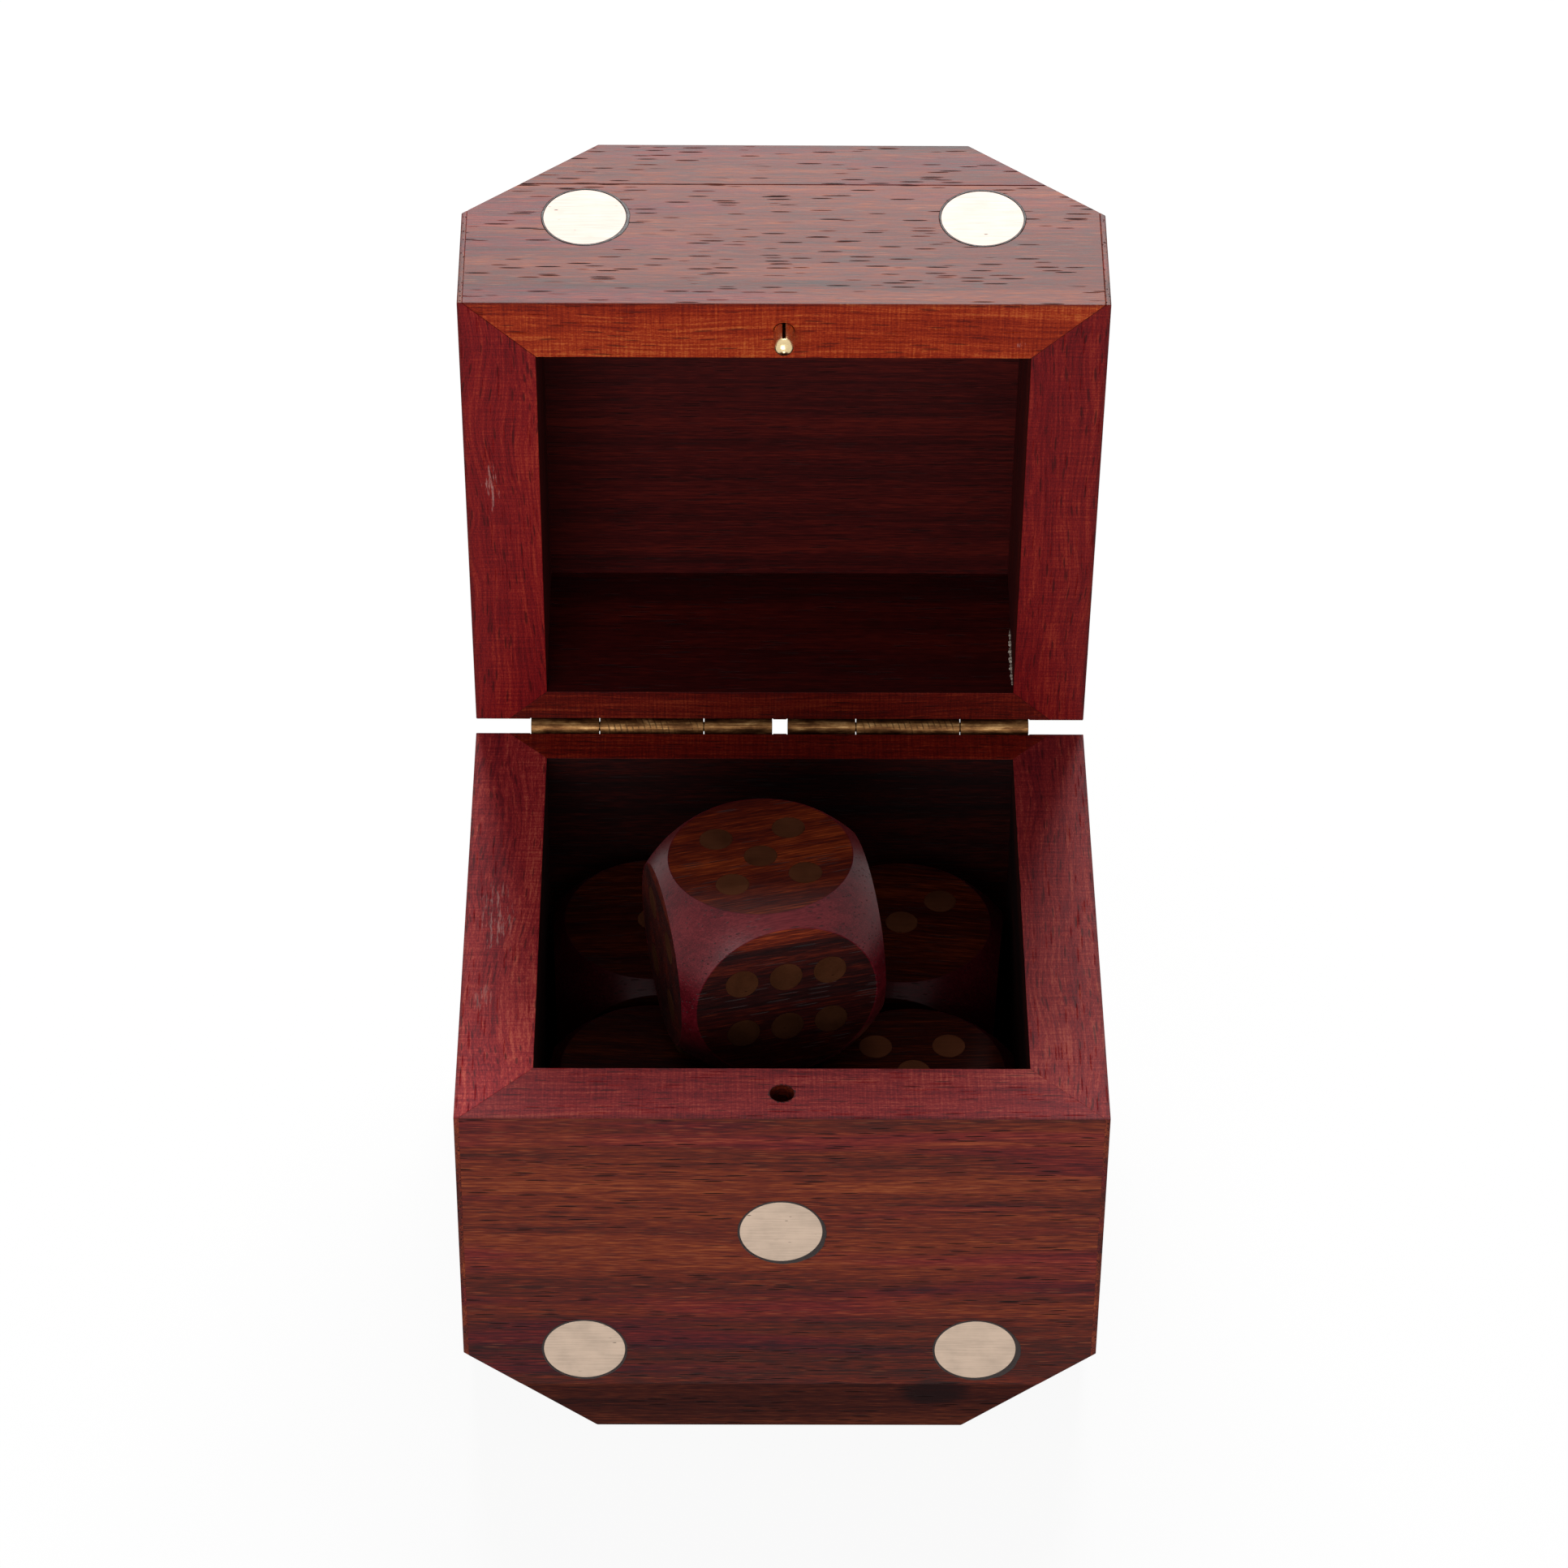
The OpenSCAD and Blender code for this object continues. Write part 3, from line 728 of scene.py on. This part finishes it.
def die_wood(name, node, look, seed):
    """Wood of one die: grained flat faces, painted light on top and painted shade on the sides, and
    redder turned corners with a painted sheen.
    """
    # A gain below 1 darkens a die low in the box with painted shade
    degrees, gain, specular = look
    g = material_graph(name)
    centre, ball = reach_of(node)
    local = g.turned(g.object_mm(), centre, Euler([math.radians(a) for a in degrees]))
    point = g.split(local)
    tone, fibres, pores, flecks = grain_layers(g, point, seed, DIE_WAVE)
    rounded = g.step(g.length(local), ball + BALL_NEAR[0], ball + BALL_NEAR[1])
    # Painted light on the upper face, painted shade on the side faces
    upward = g.step(point[2], ball * UPPER_FACE[0], ball * UPPER_FACE[1])
    shaded_sides = g.ramp(tone, scaled(DIE_SHADED_SIDE_TONES, gain))
    flat = g.mix(upward, shaded_sides, g.ramp(tone, scaled(DIE_LIT_TOP_TONES, gain)))
    flat = g.mix(g.math("MULTIPLY", flecks, 0.25 * gain), flat, DIE_FLECK)
    # Painted sheen on the turned corners
    colour = g.mix(rounded, flat, g.ramp(tone, scaled(DIE_ROUND_SHEEN_TONES, gain)))
    colour = g.mix(g.math("MULTIPLY", pores, 0.7), colour, PORE_AND_SHADE)
    rough = g.summed(g.blend(rounded, 0.36, 0.27), (fibres, 0.14), (pores, 0.2))
    height = g.summed(0.0, (fibres, 0.3), (pores, -0.7))
    return g.shade(colour, rough, g.bump(height, DIE_PORE_DEPTH_MM), Specular_IOR_Level=specular)


# Dressing the CAD nodes. Bevels are in mm.

WOOD_BEVEL = 0.10
BRASS_BEVEL = 0.06
PIN_BEVEL = 0.10
BEVEL_STEPS = 2
BEVEL_OVER = math.radians(28)
FLAT_WITHIN = 0.01
WELD_M = 1e-6


def dress(node, material, bevel_mm=0.0):
    """Gives a node its material and, with modifiers, clean faces and eased edges."""
    piece = NODES[node]
    piece.data.materials.clear()
    piece.data.materials.append(material)
    if bevel_mm:
        weld = piece.modifiers.new("weld", "WELD")
        weld.merge_threshold = WELD_M
        flat = piece.modifiers.new("flat", "DECIMATE")
        flat.decimate_type = "DISSOLVE"
        flat.angle_limit = FLAT_WITHIN
        bevel = piece.modifiers.new("bevel", "BEVEL")
        bevel.limit_method = "ANGLE"
        bevel.angle_limit = BEVEL_OVER
        bevel.width = bevel_mm * MM
        bevel.segments = BEVEL_STEPS
        bevel.use_clamp_overlap = True
        even = piece.modifiers.new("even", "WEIGHTED_NORMAL")
        even.keep_sharp = False


# The knot low on the front crosses the joint between the wall and the floor panel
KNOT = (HALF_W - 16.15, PANEL_T - 1.1, 2.2)

# Rubbed spots on the rims: x and y, reach across and along, and strength
BASE_LEFT_SPOTS = [(3.15 - HALF_W, 0.0, 2.4, 7.0, 0.36), (2.25 - HALF_W, -12.0, 1.4, 3.0, 0.20)]
LID_LEFT_SPOTS = [(2.55 - HALF_W, -4.5, 1.2, 5.0, 0.26)]
LID_FRONT_SPOTS = [(HALF_W - 8.55, 5.2 - HALF_D, 0.6, 0.7, 0.50)]

PLANKS = {
    "base_front_wall": Plank(
        "X", 1.0, scaled(CRIMSON_TONES, 0.94), scaled(FACE_TONES, 0.84), scaled(PURPLE_TONES, 0.84),
        knot=KNOT, hole_stain_and_shade=0.85, painted_shade_below=BASE_H - 13.3, fleck=0.30,
    ),
    "base_back_wall": Plank("X", 2.0, scaled(DEEP_TONES, 1.6)),
    "base_left_wall": Plank("Y", 3.0, scaled(CRIMSON_TONES, 1.48), rim_wave=5.0, spots=BASE_LEFT_SPOTS),
    "base_right_wall": Plank("Y", 4.0, scaled(CRIMSON_TONES, 0.95), rim_wave=4.0),
    "base_floor_panel": Plank(
        "X", 5.0, DEEP_TONES, FLOOR_TONES, FLOOR_TONES,
        knot=KNOT, fleck=0.08, specular=0.05,
    ),
    "lid_front_wall": Plank("X", 6.0, scaled(ORANGE_TONES, 0.90), spots=LID_FRONT_SPOTS),
    "lid_back_wall": Plank("X", 7.0, DEEP_TONES),
    "lid_left_wall": Plank("Y", 8.0, RED_TONES, rim_wave=5.0, spots=LID_LEFT_SPOTS),
    "lid_right_wall": Plank("Y", 9.0, scaled(RED_TONES, 0.88), rim_wave=4.0),
    "lid_top_panel": Plank("X", 10.0, DEEP_TONES),
}

FIRST_DIE_SEED = 11.0


def dress_wood():
    for node, plank in PLANKS.items():
        dress(node, wood(f"wood_{node}", plank, node.startswith("lid")), WOOD_BEVEL)
    for number, (node, look) in enumerate(DICE.items()):
        dress(node, die_wood(f"wood_{node}", node, look, FIRST_DIE_SEED + number))


def dress_brass():
    pip = brushed_brass("box_pip_brass", PIP_TINT, roughness=0.46, scratch_mm=0.12)
    # The dice's pips carry painted shade in their dark tint
    shaded_die_pip = brushed_brass("die_pip_brass", DIE_PIP_SHADED_TINT, roughness=0.50, scratch_mm=0.08)
    lid_pip = brushed_brass("lid_pip_brass", LID_PIP_TINT, roughness=0.80, scratch_mm=0.12)
    hinge = tarnished_brass("hinge_brass")
    bright = brushed_brass("bright_brass", BRIGHT_TINT, roughness=0.26, scratch_mm=0.10)
    for node in NODES:
        if node.startswith("die_") and node.endswith("_pips"):
            dress(node, shaded_die_pip)
        elif node.endswith("_pips") or node.endswith("_pip"):
            dress(node, lid_pip if node.startswith("lid_") else pip, BRASS_BEVEL)
        elif node.startswith("hinge_") and not node.endswith("_nails"):
            dress(node, hinge, BRASS_BEVEL)
        elif node.endswith("_nails") or node == "catch_pin":
            dress(node, bright, PIN_BEVEL)


# Glue: a dark ring round each pip of the box, and a pale bead in a corner of the lid

PIP_R = (edge("base_back_pip", 1, 2) - edge("base_back_pip", 0, 2)) / 2
PIP_LOW = edge("base_back_pip", 0, 2) + PIP_R
PIP_X = -edge("base_back_pip", 0, 0) - PIP_R
PIP_MID = edge("base_front_pips", 1, 2) - PIP_R
PIP_Y = edge("base_left_pips", 1, 1) - PIP_R
PIP_HIGH = LID_TOP - PIP_LOW

# Each ring: its face, its place across and up the face, where it is widest in degrees, and how much
# wider it is there
BASE_RINGS = [
    ("front", 0, PIP_MID, -42, 0.34),
    ("front", -PIP_X, PIP_LOW, -60, 0.06),
    ("front", PIP_X, PIP_LOW, -30, 0.40),
    ("back", PIP_X, PIP_LOW, 200, 0.15),
    ("left", PIP_Y, PIP_LOW, 10, 0.12),
    ("left", -PIP_Y, PIP_LOW, 120, 0.2),
    ("right", -PIP_Y, PIP_LOW, -80, 0.18),
    ("right", 0, PIP_MID, 30, 0.08),
]
LID_RINGS = [
    ("front", -PIP_X, PIP_HIGH, -10, 0.20),
    ("front", PIP_X, PIP_HIGH, 60, 0.05),
    ("back", -PIP_X, PIP_HIGH, 140, 0.12),
    ("left", PIP_Y, PIP_HIGH, 80, 0.1),
    ("left", -PIP_Y, PIP_HIGH, -50, 0.2),
    ("right", PIP_Y, PIP_HIGH, 20, 0.15),
] + [("top", x, y, 47 * x + 23 * y, 0.12) for x in (-PIP_X, PIP_X) for y in (-PIP_Y, 0, PIP_Y)]

# Sizes of a ring in mm: its least width, its highest point over the face, how deep it goes beside the
# pip and how wide it is there
RING_STEPS = 120
RING_W = 0.20
RING_CROWN = 0.030
RING_DEPTH = 0.40
RING_ROOT = 0.13

# The bead's ends and centre line, its round, its radius where it is thin and what its lumps add
BEAD_LOW = LID_Z + 1.2
BEAD_HIGH = LID_Z + 9.5
BEAD_INSET = 0.05
BEAD_STEPS = 90
BEAD_SIDES = 8
BEAD_TIP_R = 0.015
BEAD_R = 0.05
BEAD_SWELL = 0.26

DARK_GLUE = ((0.004, 0.002, 0.002), (0.022, 0.010, 0.008))
PALE_GLUE = ((0.16, 0.11, 0.09), (0.55, 0.47, 0.40))
GLUE_LUMP = 0.5
GLUE_SPECK = 0.12
GLUE_SPECULAR = 0.3
GLUE_DEPTH_MM = 0.03


def face_frame(face, across, up):
    """A spot on a face of the shut box in metres, with the directions across it, up it and out of it."""
    side, back, rise = Vector((1, 0, 0)), Vector((0, 1, 0)), Vector((0, 0, 1))
    frames = {
        "front": ((across, -HALF_D, up), side, rise, -back),
        "back": ((-across, HALF_D, up), -side, rise, back),
        "left": ((-HALF_W, -across, up), -back, rise, -side),
        "right": ((HALF_W, across, up), back, rise, side),
        "top": ((across, up, LID_TOP), side, back, rise),
    }
    at, right, upward, out = frames[face]
    return Vector(at) * MM, right, upward, out


def ring_profile(outer):
    """The outline of a cut through a ring: radii and heights over the face, in mm."""
    return [
        (PIP_R + 0.01, -RING_DEPTH),
        (PIP_R - 0.02, 0.012),
        (PIP_R + 0.08, RING_CROWN),
        (outer - 0.06, 0.022),
        (outer, -0.004),
        (PIP_R + RING_ROOT, -0.05),
        (PIP_R + RING_ROOT, -RING_DEPTH),
    ]


def add_ring(mesh, turn, face, across, up, widest, extra):
    """A raised ring of glue, thin at its edges, between a pip and the wood."""
    at, right, upward, out = face_frame(face, across, up)
    loops = []
    for step in range(RING_STEPS):
        angle = 2 * math.pi * step / RING_STEPS
        spread = max(0.0, math.cos(angle - math.radians(widest))) ** 2 * extra
        ragged = 0.03 * math.sin(7 * angle + across) + 0.02 * math.sin(17 * angle + up)
        outer = PIP_R + RING_W + spread + ragged * (0.6 + 2 * spread)
        spoke = math.cos(angle) * right + math.sin(angle) * upward
        spots = [at + (spoke * r + out * h) * MM for r, h in ring_profile(outer)]
        loops.append([mesh.verts.new(turn @ spot) for spot in spots])
    for step in range(RING_STEPS):
        here, after = loops[step], loops[(step + 1) % RING_STEPS]
        for k in range(len(here)):
            n = (k + 1) % len(here)
            mesh.faces.new((here[k], after[k], after[n], here[n]))


def glue_material(name, tints, roughness):
    g = material_graph(name)
    low, high = tints
    point = g.split(g.object_mm())
    lumps = g.scaled_noise(point, (GLUE_LUMP,) * 3, 2.0, detail=3.0, roughness=0.6)
    specks = g.scaled_noise(point, (GLUE_SPECK,) * 3, 7.0, detail=1.0)
    tone = g.summed(0.0, (lumps, 0.6), (specks, 0.4))
    colour = g.ramp(tone, [(0.35, low), (0.65, high)])
    rough = g.summed(roughness - 0.15, (lumps, 0.3))
    bump = g.bump(g.math("ADD", lumps, specks), GLUE_DEPTH_MM)
    return g.shade(colour, rough, bump, Specular_IOR_Level=GLUE_SPECULAR)


def finish_mesh(mesh, name, material, body):
    bmesh.ops.recalc_face_normals(mesh, faces=mesh.faces)
    data = bpy.data.meshes.new(name)
    mesh.to_mesh(data)
    mesh.free()
    data.shade_smooth()
    data.materials.append(material)
    piece = bpy.data.objects.new(name, data)
    bpy.context.scene.collection.objects.link(piece)
    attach(piece, body)


def make_rings(name, rings, turn, material, body):
    """The rings of one body, made on the shut box and turned to where the body rests."""
    mesh = bmesh.new()
    for ring in rings:
        add_ring(mesh, turn, *ring)
    finish_mesh(mesh, name, material, body)


def make_squeeze_out():
    """A lumpy pale bead down the lid's inner corner beside the right-hand hinge."""
    mesh = bmesh.new()
    turn = SHUT_TURN.inverted()
    loops = []
    for step in range(BEAD_STEPS + 1):
        share = step / BEAD_STEPS
        z = BEAD_LOW + (BEAD_HIGH - BEAD_LOW) * share
        lump = 0.5 + 0.3 * math.sin(5.1 * z) + 0.2 * math.sin(12.7 * z + 1)
        taper = math.sin(math.pi * min(1.0, share + 0.02)) ** 0.5
        radius = (BEAD_R + BEAD_SWELL * lump) * taper + BEAD_TIP_R
        centre = Vector((IN_X - BEAD_INSET, IN_BACK - BEAD_INSET, z))
        loop = []
        for k in range(BEAD_SIDES):
            angle = 2 * math.pi * k / BEAD_SIDES
            spot = centre + radius * Vector((math.cos(angle), math.sin(angle), 0))
            loop.append(mesh.verts.new(turn @ (spot * MM)))
        loops.append(loop)
    for here, after in zip(loops, loops[1:]):
        for k in range(BEAD_SIDES):
            n = (k + 1) % BEAD_SIDES
            mesh.faces.new((here[k], here[n], after[n], after[k]))
    mesh.faces.new(loops[0])
    mesh.faces.new(loops[-1])
    pale = glue_material("pale_glue", PALE_GLUE, roughness=0.6)
    finish_mesh(mesh, "lid_corner_glue", pale, "lid")


def make_glue():
    dark = glue_material("dark_glue", DARK_GLUE, roughness=0.5)
    make_rings("base_pip_glue", BASE_RINGS, Matrix.Identity(4), dark, "base")
    make_rings("lid_pip_glue", LID_RINGS, SHUT_TURN.inverted(), dark, "lid")
    make_squeeze_out()


# Stage and light, in metres and watts

STAGE_SIZE = 8
STAGE_Z = -0.0001
STAGE_GREY = (0.75, 0.75, 0.75)
WHITE = (1, 1, 1)
WHITE_SHARE = 0.93
AMBIENT = (0.22, 0.22, 0.22)

# Each lamp: its place, what it points at, its size and its power
LAMPS = {
    "key": ((0.03, 0.60, 0.66), (0, 0.03, 0.09), 0.42, 11.0),
    "front": ((-0.20, -0.85, 0.26), (0, 0, 0.05), 0.60, 6.0),
}


def make_floor():
    """A pale floor that takes the shadow. It looks nearly white, and lights the box as a grey would."""
    bpy.ops.mesh.primitive_plane_add(size=STAGE_SIZE, location=(0, 0, STAGE_Z))
    floor = bpy.context.object
    floor.name = "floor"
    g = material_graph("floor_paint")
    diffuse = g.add("ShaderNodeBsdfDiffuse")
    g.feed(diffuse.inputs["Color"], STAGE_GREY)
    glow = g.add("ShaderNodeEmission")
    g.feed(glow.inputs["Color"], WHITE)
    g.feed(glow.inputs["Strength"], 1.0)
    mixed = g.add("ShaderNodeMixShader")
    g.feed(mixed.inputs[0], g.math("MULTIPLY", g.seen(), WHITE_SHARE))
    g.feed(mixed.inputs[1], diffuse.outputs[0])
    g.feed(mixed.inputs[2], glow.outputs[0])
    g.feed(g.surface, mixed.outputs[0])
    floor.data.materials.append(g.owner)


def make_world():
    world = bpy.data.worlds.new("studio")
    bpy.context.scene.world = world
    g = Graph(world, "ShaderNodeOutputWorld")
    back = g.add("ShaderNodeBackground")
    g.feed(back.inputs["Color"], g.mix(g.seen(), AMBIENT, WHITE))
    g.feed(g.surface, back.outputs[0])


def add_lamp(name, at, target, size, watts):
    data = bpy.data.lights.new(name, "AREA")
    data.shape = "SQUARE"
    data.size = size
    data.energy = watts
    lamp = bpy.data.objects.new(name, data)
    bpy.context.scene.collection.objects.link(lamp)
    lamp.location = at
    lamp.rotation_euler = (Vector(target) - Vector(at)).to_track_quat("-Z", "Y").to_euler()


make_camera()
dress_wood()
dress_brass()
make_glue()
make_floor()
make_world()
for lamp_name, lamp_look in LAMPS.items():
    add_lamp(lamp_name, *lamp_look)
bpy.context.scene.view_settings.view_transform = "Standard"
